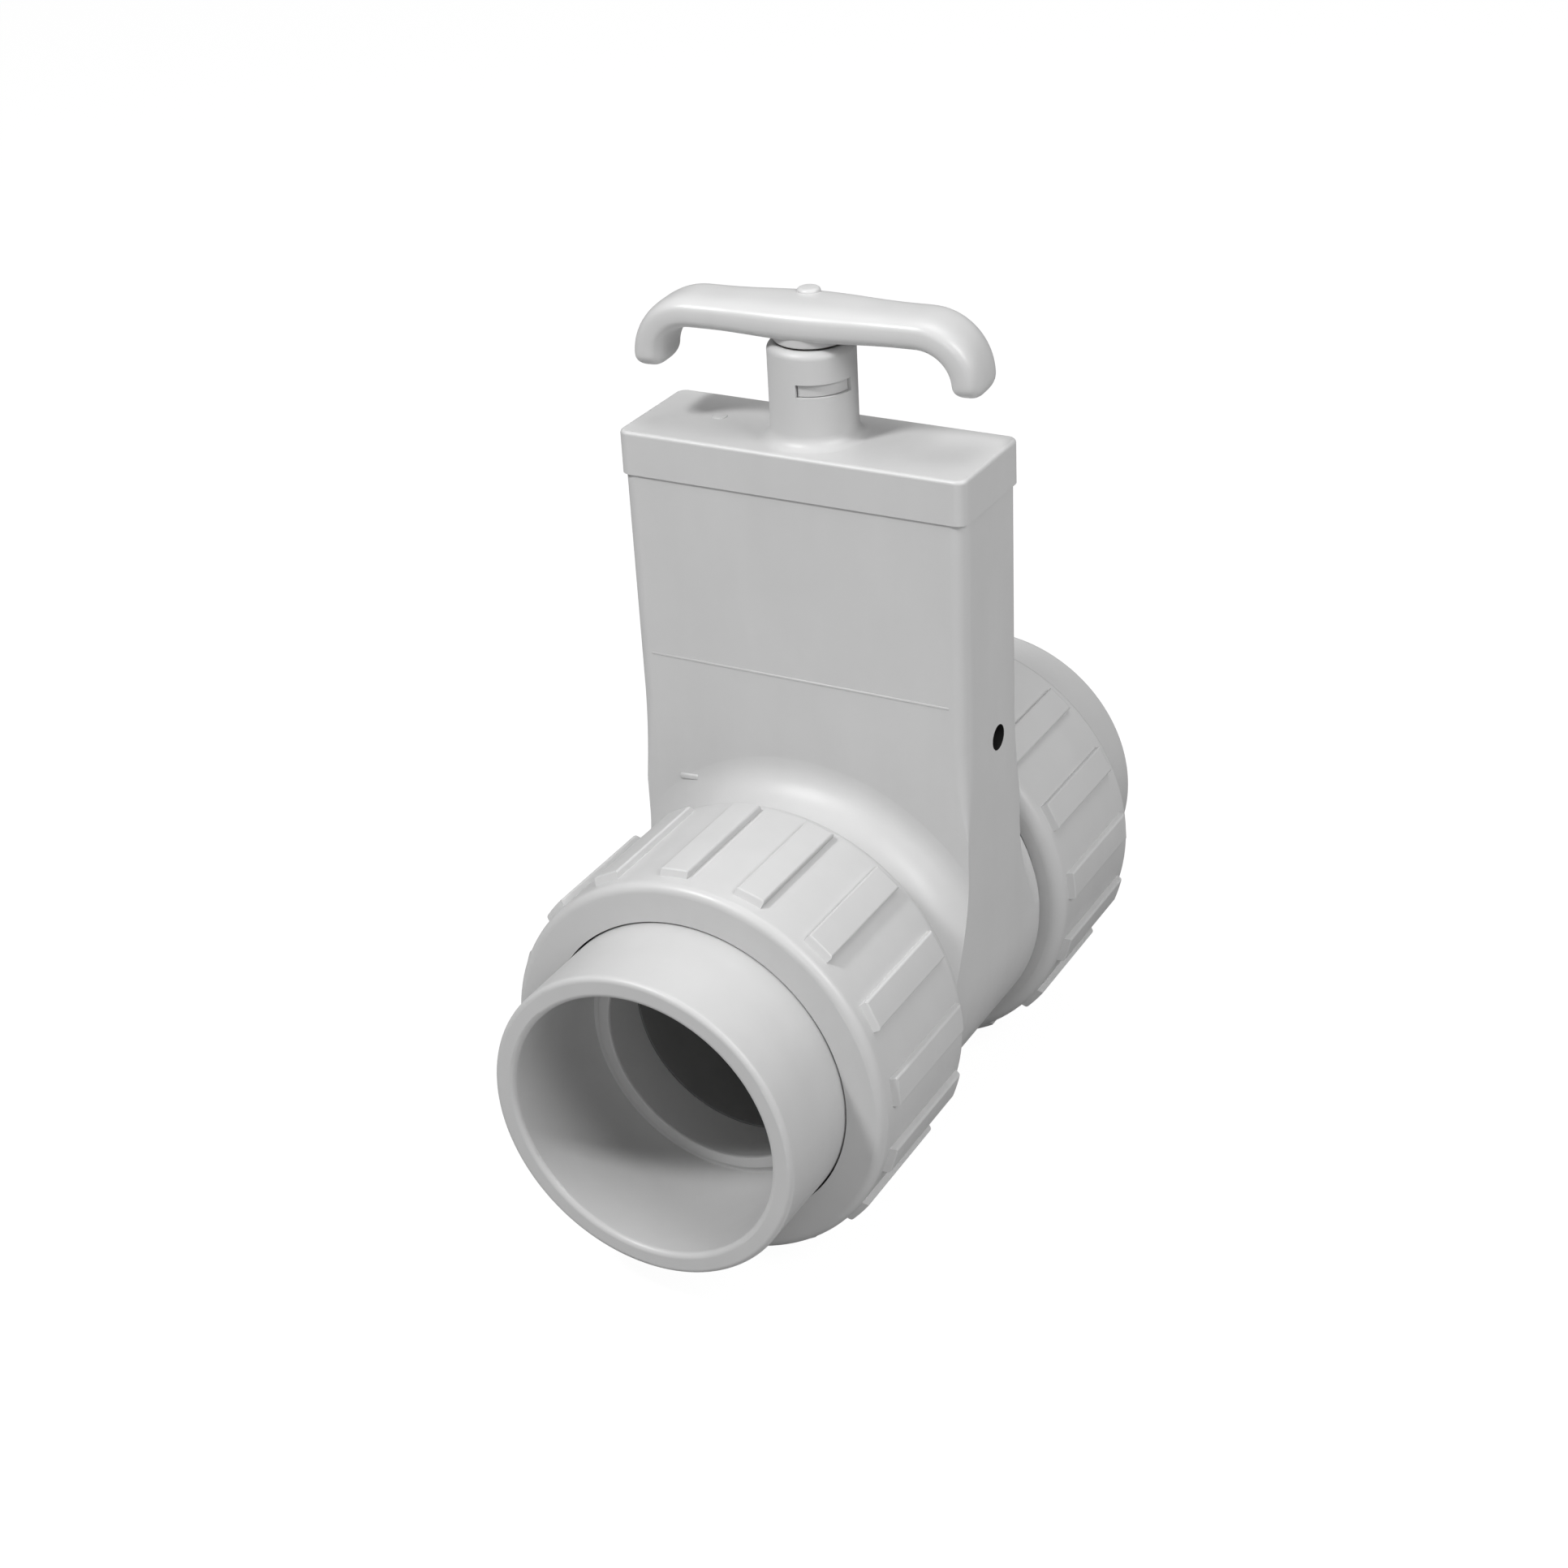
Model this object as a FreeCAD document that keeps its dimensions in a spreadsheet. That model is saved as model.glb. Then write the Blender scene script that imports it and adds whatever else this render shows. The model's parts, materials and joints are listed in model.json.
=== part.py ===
import FreeCAD, Part
import math
import os
import re
import Sketcher
from FreeCAD import Placement, Rotation, Vector

# Union slide valve, nominal 2 inch (DN 50), moulded plastic, with two ribbed union nuts.
# Millimetres. +Z up. The flow axis runs along Y, the handle bar along X.
# The origin lies under the middle of the valve, on the surface that the two nuts stand on.
# "Out" is the distance from the blade's middle plane along the flow axis.
# Heights of the housing, blade and handle are measured from the flow axis.

# Driving dimensions
SIZES = {
    # flow passage and union joint
    "bore_radius": 26.0,
    "pipe_radius": 30.15,
    "socket_depth": 31.5,
    "tail_radius": 35.0,
    "tail_bore_gap": 0.2,
    "tail_out": 87.7,
    "rim_round": 1.2,
    "flange_radius": 37.4,
    "flange_thickness": 10.0,
    "nut_radius": 43.95,
    "nut_inner_out": 25.4,
    "nut_outer_out": 65.0,
    "nut_hole_gap": 0.4,
    "nut_front_round": 2.0,
    "nut_back_round": 3.0,
    "rib_height": 1.5,
    "rib_span": 8.3,
    "rib_start_out": 29.2,
    "rib_end_out": 61.0,
    "rib_draft": 0.8,
    "rib_round": 0.5,
    "rib_phase": 5.6,
    "thread_radius": 37.9,
    "thread_gap": 0.35,
    "neck_out": 44.6,
    "neck_chamfer": 1.2,
    "joint_gap": 0.3,
    "face_ring_radius": 33.9,
    "face_ring_thick": 3.0,
    # housing
    "body_half_width": 39.1,
    "body_top_half_width": 39.75,
    "body_half_depth": 13.2,
    "body_round": 3.2,
    "shoulder_height": 108.5,
    "collar_radius": 39.2,
    "collar_out": 23.7,
    "flare_radius": 9.0,
    "spigot_height": 3.7,
    "spigot_inset": 2.3,
    "lining_radius": 30.0,
    "port_radius": 2.85,
    "port_depth": 4.8,
    "port_height": 54.3,
    "port_shift": 2.4,
    # blade and its chamber
    "blade_half_width": 33.0,
    "blade_thickness": 5.0,
    "blade_top": 53.2,
    "blade_bevel": 1.0,
    "slot_gap": 0.4,
    "relief_half_width": 29.5,
    "relief_half_depth": 8.8,
    "relief_floor": 40.0,
    # seat rings and linings
    "seat_gap": 0.1,
    "seat_ring_depth": 4.3,
    "seat_lip": 1.0,
    "fit_gap": 0.05,
    "lining_ring_out": 37.4,
    "lining_ring_thick": 2.0,
    # bonnet
    "cap_half_width": 40.1,
    "cap_half_depth": 13.6,
    "cap_round": 2.4,
    "cap_edge_round": 0.8,
    "cap_bottom": 108.7,
    "cap_top": 118.3,
    "skirt_gap": 0.2,
    "gasket_thickness": 0.8,
    "gasket_width_x": 3.8,
    "gasket_width_y": 1.8,
    "boss_radius": 9.25,
    "boss_height": 20.5,
    "boss_round": 1.6,
    "boss_foot_round": 2.6,
    "bush_seat": 120.4,
    "bush_radius": 7.35,
    "bush_sink": 0.6,
    "window_height": 2.8,
    "window_middle": 130.7,
    "window_span": 80.0,
    "window_turn": -45.0,
    "catch_reach": 1.25,
    "catch_gap": 0.2,
    "catch_span": 76.0,
    # stem
    "rod_radius": 4.75,
    "rod_gap": 0.07,
    "rod_hole_gap": 0.35,
    "rod_thread_radius": 3.9,
    "rod_fork_depth": 10.2,
    "rod_end_chamfer": 0.6,
    "stem_ring_thick": 1.7,
    "stem_ring_low": 123.6,
    "stem_ring_pitch": 3.4,
    "pin_radius": 1.5,
    "pin_bore_radius": 0.8,
    "pin_low": 45.6,
    "pin_pitch": 4.4,
    # handle
    "hub_gap": 0.4,
    "hub_radius": 9.1,
    "bar_middle": 143.65,
    "bar_half_straight": 24.9,
    "bar_turn_radius": 10.3,
    "bar_drop": 1.9,
    "handle_turn": 4.4,
    "bar_depth": 14.5,
    "bar_thickness": 6.9,
    "bar_round": 3.0,
    "tip_round": 1.6,
    "swell_half_length": 13.0,
    "swell_depth": 18.6,
    "swell_thickness": 8.2,
    "nub_radius": 2.6,
    "nub_height": 0.9,
    "nub_round": 0.7,
    "insert_radius": 6.4,
    "insert_length": 6.2,
}

# Dimensions that follow from the driving ones
DERIVED = {
    "axis_height": "nut_radius + rib_height",
    "flange_out": "neck_out + joint_gap",
    "flange_back_out": "flange_out + flange_thickness",
    "socket_floor_out": "tail_out - socket_depth",
    "nut_wall_out": "flange_back_out + joint_gap",
    "nut_bore_radius": "thread_radius + thread_gap",
    "nut_hole_radius": "tail_radius + nut_hole_gap",
    "spigot_top": "shoulder_height + spigot_height",
    "spigot_half_width": "body_top_half_width - spigot_inset",
    "spigot_half_depth": "body_half_depth - spigot_inset",
    "gasket_top": "spigot_top + gasket_thickness",
    "slot_half_width": "blade_half_width + slot_gap",
    "slot_half_depth": "blade_thickness / 2 + slot_gap",
    "boss_top": "cap_top + boss_height",
    "bush_bore_radius": "rod_radius + rod_gap",
    "bush_hole_radius": "bush_radius + fit_gap",
    "bush_top": "boss_top - bush_sink",
    "seat_face_out": "blade_thickness / 2 + seat_gap",
    "seat_back_out": "seat_face_out + seat_ring_depth",
    "fork_bottom": "blade_top - rod_fork_depth",
    "hub_bottom": "boss_top + hub_gap",
    "insert_bottom": "hub_bottom + hub_gap",
    "insert_top": "insert_bottom + insert_length",
    "bend_bottom": "bar_middle - bar_turn_radius",
    "tip_bottom": "bend_bottom - bar_drop",
    "tip_middle": "bar_half_straight + bar_turn_radius",
}

RIB_COUNT = 16
WINDOW_COUNT = 2
CUT_MARGIN = 5.0
WORD = re.compile(r"[a-z]\w*")

doc = FreeCAD.newDocument("slide_valve")
sheet = doc.addObject("Spreadsheet::Sheet", "Sizes")
for row, (alias, number) in enumerate(SIZES.items(), start=1):
    sheet.set(f"A{row}", str(number))
    sheet.setAlias(f"A{row}", alias)
doc.recompute()


# Formulas and values

def formula(text):
    """Write a dimension formula in terms of the sheet's cells."""
    def spell(match):
        name = match.group(0)
        if name in SIZES:
            return "Sizes." + name
        if name in DERIVED:
            return "(" + formula(DERIVED[name]) + ")"
        return name
    return WORD.sub(spell, str(text))


def value(text):
    """The number that a dimension formula gives now."""
    return float(sheet.evalExpression(formula(text)))


def bind(item, prop, text):
    item.setExpression(prop, formula(text))


# Bodies and sketches

def new_body(label, turn=0.0):
    """A body whose own origin is the flow axis at the blade's middle plane."""
    body = doc.addObject("PartDesign::Body", label)
    body.Label = label
    body.Placement = Placement(Vector(0, 0, 0), Rotation(Vector(0, 0, 1), turn))
    bind(body, "Placement.Base.z", "axis_height")
    return body


def origin_plane(body, role):
    return next(item for item in body.Origin.OriginFeatures if item.Role == role)


def new_sketch(body, name, role, offset="0", turn=0.0):
    """A sketch on one of the body's own planes, moved along it and turned about its upright."""
    sketch = body.newObject("Sketcher::SketchObject", name)
    sketch.AttachmentSupport = [(origin_plane(body, role), "")]
    sketch.MapMode = "FlatFace"
    sketch.AttachmentOffset = Placement(Vector(0, 0, 0), Rotation(Vector(0, 1, 0), turn))
    bind(sketch, "AttachmentOffset.Base.z", offset)
    return sketch


def place_point(sketch, curve, end, across, up):
    """Fix one end of a curve by its two bound distances from the sketch's origin."""
    for kind, text in (("DistanceX", across), ("DistanceY", up)):
        spot = Sketcher.Constraint(kind, -1, 1, curve, end, value(text))
        bind(sketch, f"Constraints[{sketch.addConstraint(spot)}]", text)


def bind_radius(sketch, curve, text):
    size = Sketcher.Constraint("Radius", curve, value(text))
    bind(sketch, f"Constraints[{sketch.addConstraint(size)}]", text)


def add_polygon(sketch, corners):
    """A closed outline of straight lines through the given corners."""
    points = [Vector(value(across), value(up), 0) for across, up in corners]
    first = sketch.GeometryCount
    count = len(points)
    for index in range(count):
        line = Part.LineSegment(points[index], points[(index + 1) % count])
        sketch.addGeometry(line, False)
    for index in range(count):
        following = first + (index + 1) % count
        sketch.addConstraint(Sketcher.Constraint("Coincident", first + index, 2, following, 1))
    for index, (across, up) in enumerate(corners):
        place_point(sketch, first + index, 1, across, up)


def add_rectangle(sketch, left, right, low, high):
    add_polygon(sketch, [(left, low), (right, low), (right, high), (left, high)])


def add_circle(sketch, radius, across="0", up="0"):
    middle = Vector(value(across), value(up), 0)
    circle = Part.Circle(middle, Vector(0, 0, 1), value(radius))
    curve = sketch.addGeometry(circle, False)
    place_point(sketch, curve, 3, across, up)
    bind_radius(sketch, curve, radius)


def add_round_bottom(sketch, half_width, top, top_half_width=None):
    """Straight sides and a flat top over a half circle about the sketch's origin."""
    top_half_width = top_half_width or half_width
    half, wide, high = value(half_width), value(top_half_width), value(top)
    right = sketch.addGeometry(Part.LineSegment(Vector(half, 0, 0), Vector(wide, high, 0)))
    crown = sketch.addGeometry(Part.LineSegment(Vector(wide, high, 0), Vector(-wide, high, 0)))
    left = sketch.addGeometry(Part.LineSegment(Vector(-wide, high, 0), Vector(-half, 0, 0)))
    circle = Part.Circle(Vector(0, 0, 0), Vector(0, 0, 1), half)
    bowl = sketch.addGeometry(Part.ArcOfCircle(circle, math.pi, 2 * math.pi))
    sketch.addConstraint([
        Sketcher.Constraint("Coincident", right, 2, crown, 1),
        Sketcher.Constraint("Coincident", crown, 2, left, 1),
        Sketcher.Constraint("Tangent", left, 2, bowl, 1),
        Sketcher.Constraint("Tangent", bowl, 2, right, 1),
        Sketcher.Constraint("Coincident", bowl, 3, -1, 1),
        Sketcher.Constraint("Symmetric", crown, 1, crown, 2, -2),
    ])
    bind_radius(sketch, bowl, half_width)
    place_point(sketch, crown, 1, top_half_width, top)


def add_rounded_rectangle(sketch, middle, width, height, radius):
    """A rectangle with four equal round corners about a middle point."""
    across, up = middle
    left = f"{across} - {width} / 2"
    right = f"{across} + {width} / 2"
    low = f"{up} - {height} / 2"
    high = f"{up} + {height} / 2"
    x0, x1, y0, y1, r = (value(text) for text in (left, right, low, high, radius))
    ends = [
        (Vector(x0 + r, y0, 0), Vector(x1 - r, y0, 0)),
        (Vector(x1, y0 + r, 0), Vector(x1, y1 - r, 0)),
        (Vector(x1 - r, y1, 0), Vector(x0 + r, y1, 0)),
        (Vector(x0, y1 - r, 0), Vector(x0, y0 + r, 0)),
    ]
    centres = [(x1 - r, y0 + r), (x1 - r, y1 - r), (x0 + r, y1 - r), (x0 + r, y0 + r)]
    sides = [sketch.addGeometry(Part.LineSegment(start, end)) for start, end in ends]
    corners = []
    for index, (x, y) in enumerate(centres):
        circle = Part.Circle(Vector(x, y, 0), Vector(0, 0, 1), r)
        start = (index - 1) * math.pi / 2
        corners.append(sketch.addGeometry(Part.ArcOfCircle(circle, start, start + math.pi / 2)))
    for index, corner in enumerate(corners):
        following = sides[(index + 1) % 4]
        sketch.addConstraint(Sketcher.Constraint("Tangent", sides[index], 2, corner, 1))
        sketch.addConstraint(Sketcher.Constraint("Tangent", corner, 2, following, 1))
    for side, kind in zip(sides, ("Horizontal", "Vertical", "Horizontal", "Vertical")):
        sketch.addConstraint(Sketcher.Constraint(kind, side))
    for corner in corners[1:]:
        sketch.addConstraint(Sketcher.Constraint("Equal", corners[0], corner))
    for side, kind, text in zip(sides, ("DistanceY", "DistanceX") * 2, (low, right, high, left)):
        line = sketch.addConstraint(Sketcher.Constraint(kind, -1, 1, side, 1, value(text)))
        bind(sketch, f"Constraints[{line}]", text)
    bind_radius(sketch, corners[0], radius)


# Features

def extrude(body, kind, name, sketch, length, both_ways=False, backwards=False):
    feature = body.newObject("PartDesign::" + kind, name)
    feature.Profile = sketch
    feature.Midplane = both_ways
    feature.Reversed = backwards
    bind(feature, "Length", length)
    return feature


def spin(body, kind, name, sketch, axis, angle=360.0):
    """Turn a sketch about its own upright (V_Axis) or level (H_Axis), even about the sketch."""
    feature = body.newObject("PartDesign::" + kind, name)
    feature.Profile = sketch
    feature.ReferenceAxis = (sketch, [axis])
    feature.Midplane = True
    feature.Angle = angle
    return feature


def polar(body, name, feature, role, count):
    pattern = body.newObject("PartDesign::PolarPattern", name)
    pattern.Originals = [feature]
    pattern.Axis = (origin_plane(body, role), [""])
    pattern.Angle = 360.0
    pattern.Occurrences = count
    body.Tip = pattern
    return pattern


def edges_where(feature, test):
    """Names of the feature's edges that pass a test on the edge."""
    doc.recompute()
    edges = feature.Shape.Edges
    return [f"Edge{index}" for index, edge in enumerate(edges, start=1) if test(edge)]


def soften(body, kind, name, feature, test, size):
    """Round or chamfer the edges of a feature that pass a test."""
    names = edges_where(feature, test)
    if not names:
        raise ValueError(f"{body.Label}: no edge found for {name}")
    dressing = body.newObject("PartDesign::" + kind, name)
    dressing.Base = (feature, names)
    bind(dressing, "Radius" if kind == "Fillet" else "Size", size)
    body.Tip = dressing
    return dressing


def near(a, b, slack=0.01):
    return abs(a - b) < slack


def is_circle(edge, radius, spot=None, along="y"):
    """A full or part circle of this radius whose middle has this coordinate."""
    if not isinstance(edge.Curve, Part.Circle) or not near(edge.Curve.Radius, radius):
        return False
    return spot is None or near(getattr(edge.Curve.Center, along), spot)


def torus(label, ring_radius, thickness, height, out="0", side=1):
    """An O-ring round the stem (out is 0) or round the flow axis."""
    ring = doc.addObject("Part::Torus", label)
    ring.Label = label
    bind(ring, "Radius1", ring_radius)
    bind(ring, "Radius2", f"({thickness}) / 2")
    if out != "0":
        ring.Placement = Placement(Vector(0, 0, 0), Rotation(Vector(1, 0, 0), 90))
        bind(ring, "Placement.Base.y", f"{side} * ({out})")
    bind(ring, "Placement.Base.z", height)
    return ring


# Housing

def make_valve_body():
    """One moulding: round-bottomed plate, flared collars, threaded necks and blade chamber."""
    body = new_body("valve_body")
    outline = new_sketch(body, "plate_outline", "XZ_Plane")
    add_round_bottom(outline, "body_half_width", "shoulder_height", "body_top_half_width")
    plate = extrude(body, "Pad", "plate", outline, "2 * body_half_depth", both_ways=True)
    depth, shoulder = value("body_half_depth"), value("shoulder_height")

    def on_plate_outline(edge):
        middle = edge.BoundBox.Center
        return edge.BoundBox.YLength < 0.01 and near(abs(middle.y), depth) and middle.z < shoulder - 1
    soften(body, "Fillet", "plate_round", plate, on_plate_outline, "body_round")
    add_collars(body)
    spigot_sketch = new_sketch(body, "spigot_outline", "XY_Plane", "shoulder_height")
    add_rectangle(spigot_sketch, "-spigot_half_width", "spigot_half_width",
                  "-spigot_half_depth", "spigot_half_depth")
    extrude(body, "Pad", "spigot", spigot_sketch, "spigot_height")
    add_necks(body)
    cut_chamber(body)
    return body


def add_collars(body):
    """Round collars that flare into the plate's faces, trimmed to the plate's outline."""
    profile = new_sketch(body, "collar_profile", "XY_Plane")
    disc_radius = f"collar_radius + flare_radius + {CUT_MARGIN}"
    add_polygon(profile, [
        ("0", "-collar_out"), ("collar_radius", "-collar_out"),
        ("collar_radius", "-body_half_depth"), (disc_radius, "-body_half_depth"),
        (disc_radius, "body_half_depth"), ("collar_radius", "body_half_depth"),
        ("collar_radius", "collar_out"), ("0", "collar_out"),
    ])
    collars = spin(body, "Revolution", "collars", profile, "V_Axis")
    radius, depth = value("collar_radius"), value("body_half_depth")

    def at_collar_foot(edge):
        return is_circle(edge, radius, depth) or is_circle(edge, radius, -depth)
    soften(body, "Fillet", "collar_flare", collars, at_collar_foot, "flare_radius")
    trim = new_sketch(body, "collar_trim", "XZ_Plane")
    reach = f"({disc_radius} + {CUT_MARGIN})"
    add_rectangle(trim, f"-{reach}", reach, f"-{reach}", f"shoulder_height + {CUT_MARGIN}")
    add_round_bottom(trim, "body_half_width", "shoulder_height", "body_top_half_width")
    extrude(body, "Pocket", "collar_sides", trim, "4 * collar_out", both_ways=True)


def add_necks(body):
    """Threaded necks on both sides, with a groove for the face ring and the lined bore."""
    profile = new_sketch(body, "neck_profile", "XY_Plane")
    add_rectangle(profile, "0", "thread_radius", "-neck_out", "neck_out")
    necks = spin(body, "Revolution", "necks", profile, "V_Axis")
    radius, out = value("thread_radius"), value("neck_out")

    def at_neck_rim(edge):
        return is_circle(edge, radius, out) or is_circle(edge, radius, -out)
    soften(body, "Chamfer", "neck_rims", necks, at_neck_rim, "neck_chamfer")
    bore = new_sketch(body, "lining_bore", "XZ_Plane")
    add_circle(bore, "lining_radius")
    extrude(body, "Pocket", "bore", bore, "4 * neck_out", both_ways=True)
    groove = new_sketch(body, "face_ring_groove", "XY_Plane")
    inner = "face_ring_radius - face_ring_thick / 2 - fit_gap"
    outer = "face_ring_radius + face_ring_thick / 2 + fit_gap"
    floor = "flange_out - face_ring_thick - 2 * fit_gap"
    add_rectangle(groove, inner, outer, floor, f"neck_out + {CUT_MARGIN}")
    add_rectangle(groove, inner, outer, f"-neck_out - {CUT_MARGIN}", f"-({floor})")
    spin(body, "Groove", "ring_grooves", groove, "V_Axis")


def cut_chamber(body):
    """The slot that guides the blade, the relief above the seats and the blind side port."""
    slot = new_sketch(body, "slot_outline", "XZ_Plane")
    add_round_bottom(slot, "slot_half_width", f"spigot_top + {CUT_MARGIN}")
    extrude(body, "Pocket", "slot", slot, "2 * slot_half_depth", both_ways=True)
    relief = new_sketch(body, "relief_outline", "XZ_Plane")
    add_rectangle(relief, "-relief_half_width", "relief_half_width",
                  "relief_floor", f"spigot_top + {CUT_MARGIN}")
    extrude(body, "Pocket", "relief", relief, "2 * relief_half_depth", both_ways=True)
    port = new_sketch(body, "port_outline", "YZ_Plane", "body_top_half_width")
    add_circle(port, "port_radius", "port_shift", "port_height")
    body.Tip = extrude(body, "Pocket", "side_port", port,
                       "port_depth + body_top_half_width - body_half_width")


def make_bonnet():
    """The cap: a skirted lid over the spigot, and the stem boss with its two catch windows."""
    body = new_body("bonnet")
    block = new_sketch(body, "cap_outline", "XY_Plane", "cap_bottom")
    add_rounded_rectangle(block, ("0", "0"), "(2 * cap_half_width)", "(2 * cap_half_depth)",
                          "cap_round")
    cap = extrude(body, "Pad", "cap", block, "cap_top - cap_bottom")
    top = value("cap_top")

    def on_cap_top(edge):
        return edge.BoundBox.ZLength < 0.01 and near(edge.BoundBox.Center.z, top)
    soften(body, "Fillet", "cap_edges", cap, on_cap_top, "cap_edge_round")
    hollow = new_sketch(body, "skirt_hollow", "XY_Plane", "cap_bottom")
    wide = "(spigot_half_width + skirt_gap)"
    deep = "(spigot_half_depth + skirt_gap)"
    add_rectangle(hollow, f"-{wide}", wide, f"-{deep}", deep)
    extrude(body, "Pocket", "skirt", hollow, "gasket_top - cap_bottom", backwards=True)
    add_stem_boss(body)
    return body


def add_stem_boss(body):
    boss_sketch = new_sketch(body, "boss_outline", "XY_Plane", "cap_top")
    add_circle(boss_sketch, "boss_radius")
    boss = extrude(body, "Pad", "boss", boss_sketch, "boss_height")
    radius, foot, head = value("boss_radius"), value("cap_top"), value("boss_top")
    footed = soften(body, "Fillet", "boss_foot", boss,
                    lambda edge: is_circle(edge, radius, foot, "z"), "boss_foot_round")
    soften(body, "Fillet", "boss_head", footed,
           lambda edge: is_circle(edge, radius, head, "z"), "boss_round")
    bores = new_sketch(body, "stem_bores", "XZ_Plane")
    hole = "rod_radius + rod_hole_gap"
    add_polygon(bores, [
        ("0", f"cap_bottom - {CUT_MARGIN}"), (hole, f"cap_bottom - {CUT_MARGIN}"),
        (hole, "bush_seat"), ("bush_hole_radius", "bush_seat"),
        ("bush_hole_radius", f"boss_top + {CUT_MARGIN}"), ("0", f"boss_top + {CUT_MARGIN}"),
    ])
    spin(body, "Groove", "stem_bore", bores, "V_Axis")
    window = new_sketch(body, "window_profile", "XZ_Plane", turn=value("window_turn"))
    add_rectangle(window, "bush_radius - catch_reach", f"boss_radius + {CUT_MARGIN}",
                  "window_middle - window_height / 2", "window_middle + window_height / 2")
    cut = spin(body, "Groove", "window", window, "V_Axis")
    bind(cut, "Angle", "window_span")
    polar(body, "windows", cut, "Z_Axis", WINDOW_COUNT)


def make_bonnet_gasket():
    """Flat gasket on the spigot's rim."""
    body = new_body("bonnet_gasket")
    ring = new_sketch(body, "gasket_outline", "XY_Plane", "spigot_top")
    add_rectangle(ring, "-spigot_half_width", "spigot_half_width",
                  "-spigot_half_depth", "spigot_half_depth")
    inner_x = "(spigot_half_width - gasket_width_x)"
    inner_y = "(spigot_half_depth - gasket_width_y)"
    add_rectangle(ring, f"-{inner_x}", inner_x, f"-{inner_y}", inner_y)
    body.Tip = extrude(body, "Pad", "gasket", ring, "gasket_thickness")
    return body


def make_stem_bush():
    """Guide bush with two inner ring grooves and two catches in the boss's windows."""
    body = new_body("stem_bush")
    profile = new_sketch(body, "bush_profile", "XZ_Plane")
    groove = "bush_bore_radius + stem_ring_thick"
    half = "stem_ring_thick / 2 + fit_gap"
    low, high = "stem_ring_low", "stem_ring_low + stem_ring_pitch"
    add_polygon(profile, [
        ("bush_bore_radius", "bush_seat"), ("bush_radius", "bush_seat"),
        ("bush_radius", "bush_top"), ("bush_bore_radius", "bush_top"),
        ("bush_bore_radius", f"{high} + {half}"), (groove, f"{high} + {half}"),
        (groove, f"{high} - ({half})"), ("bush_bore_radius", f"{high} - ({half})"),
        ("bush_bore_radius", f"{low} + {half}"), (groove, f"{low} + {half}"),
        (groove, f"{low} - ({half})"), ("bush_bore_radius", f"{low} - ({half})"),
    ])
    spin(body, "Revolution", "bush", profile, "V_Axis")
    catch = new_sketch(body, "catch_profile", "XZ_Plane", turn=value("window_turn"))
    half_catch = "(window_height / 2 - catch_gap)"
    add_rectangle(catch, "bush_radius - catch_reach / 2", "bush_radius + catch_reach",
                  f"window_middle - {half_catch}", f"window_middle + {half_catch}")
    lug = spin(body, "Revolution", "catch", catch, "V_Axis")
    bind(lug, "Angle", "catch_span")
    polar(body, "catches", lug, "Z_Axis", WINDOW_COUNT)
    return body


def make_stem_rings():
    """Two O-rings round the rod, in the bush's grooves."""
    middle = "rod_radius + fit_gap + stem_ring_thick / 2"
    rings = []
    for name, height in (("low_stem_ring", "stem_ring_low"),
                         ("high_stem_ring", "stem_ring_low + stem_ring_pitch")):
        rings.append(torus(name, middle, "stem_ring_thick", f"axis_height + {height}"))
    pair = doc.addObject("Part::Compound", "stem_orings")
    pair.Label = "stem_orings"
    pair.Links = rings
    return pair


# Pieces that are the same at the front and at the rear

def make_seat_ring(label, turn):
    """Rubber ring whose bevelled lip wipes the blade."""
    body = new_body(label, turn=turn)
    profile = new_sketch(body, "ring_profile", "XY_Plane")
    inner, outer = "bore_radius + seat_gap", "lining_radius - fit_gap"
    add_polygon(profile, [
        (inner, "seat_face_out"), (f"{outer} - seat_lip", "seat_face_out"),
        (outer, "seat_face_out + seat_lip"), (outer, "seat_back_out"), (inner, "seat_back_out"),
    ])
    body.Tip = spin(body, "Revolution", "ring", profile, "V_Axis")
    return body


def make_seat_sleeve(label, turn):
    """Dark lining of the neck's bore that holds the seat ring against the blade."""
    body = new_body(label, turn=turn)
    profile = new_sketch(body, "sleeve_profile", "XY_Plane")
    outer = "lining_radius - fit_gap"
    groove = "lining_radius - fit_gap - lining_ring_thick"
    half = "(lining_ring_thick / 2 + fit_gap)"
    add_polygon(profile, [
        ("bore_radius", "seat_back_out"), (outer, "seat_back_out"),
        (outer, f"lining_ring_out - {half}"), (groove, f"lining_ring_out - {half}"),
        (groove, f"lining_ring_out + {half}"), (outer, f"lining_ring_out + {half}"),
        (outer, "neck_out"), ("bore_radius", "neck_out"),
    ])
    body.Tip = spin(body, "Revolution", "sleeve", profile, "V_Axis")
    return body


def make_tailpiece(label, turn):
    """Flanged slip-socket end: pipe socket with a stop shoulder and a rounded rim."""
    body = new_body(label, turn=turn)
    profile = new_sketch(body, "tail_profile", "XY_Plane")
    inner = "bore_radius + tail_bore_gap"
    add_polygon(profile, [
        (inner, "flange_out"), ("flange_radius", "flange_out"),
        ("flange_radius", "flange_back_out"), ("tail_radius", "flange_back_out"),
        ("tail_radius", "tail_out"), ("pipe_radius", "tail_out"),
        ("pipe_radius", "socket_floor_out"), (inner, "socket_floor_out"),
    ])
    tail = spin(body, "Revolution", "tail", profile, "V_Axis")
    out, outer, inner_rim = value("tail_out"), value("tail_radius"), value("pipe_radius")

    def on_rim(edge):
        return is_circle(edge, outer, out) or is_circle(edge, inner_rim, out)
    soften(body, "Fillet", "rim", tail, on_rim, "rim_round")
    return body


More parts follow.
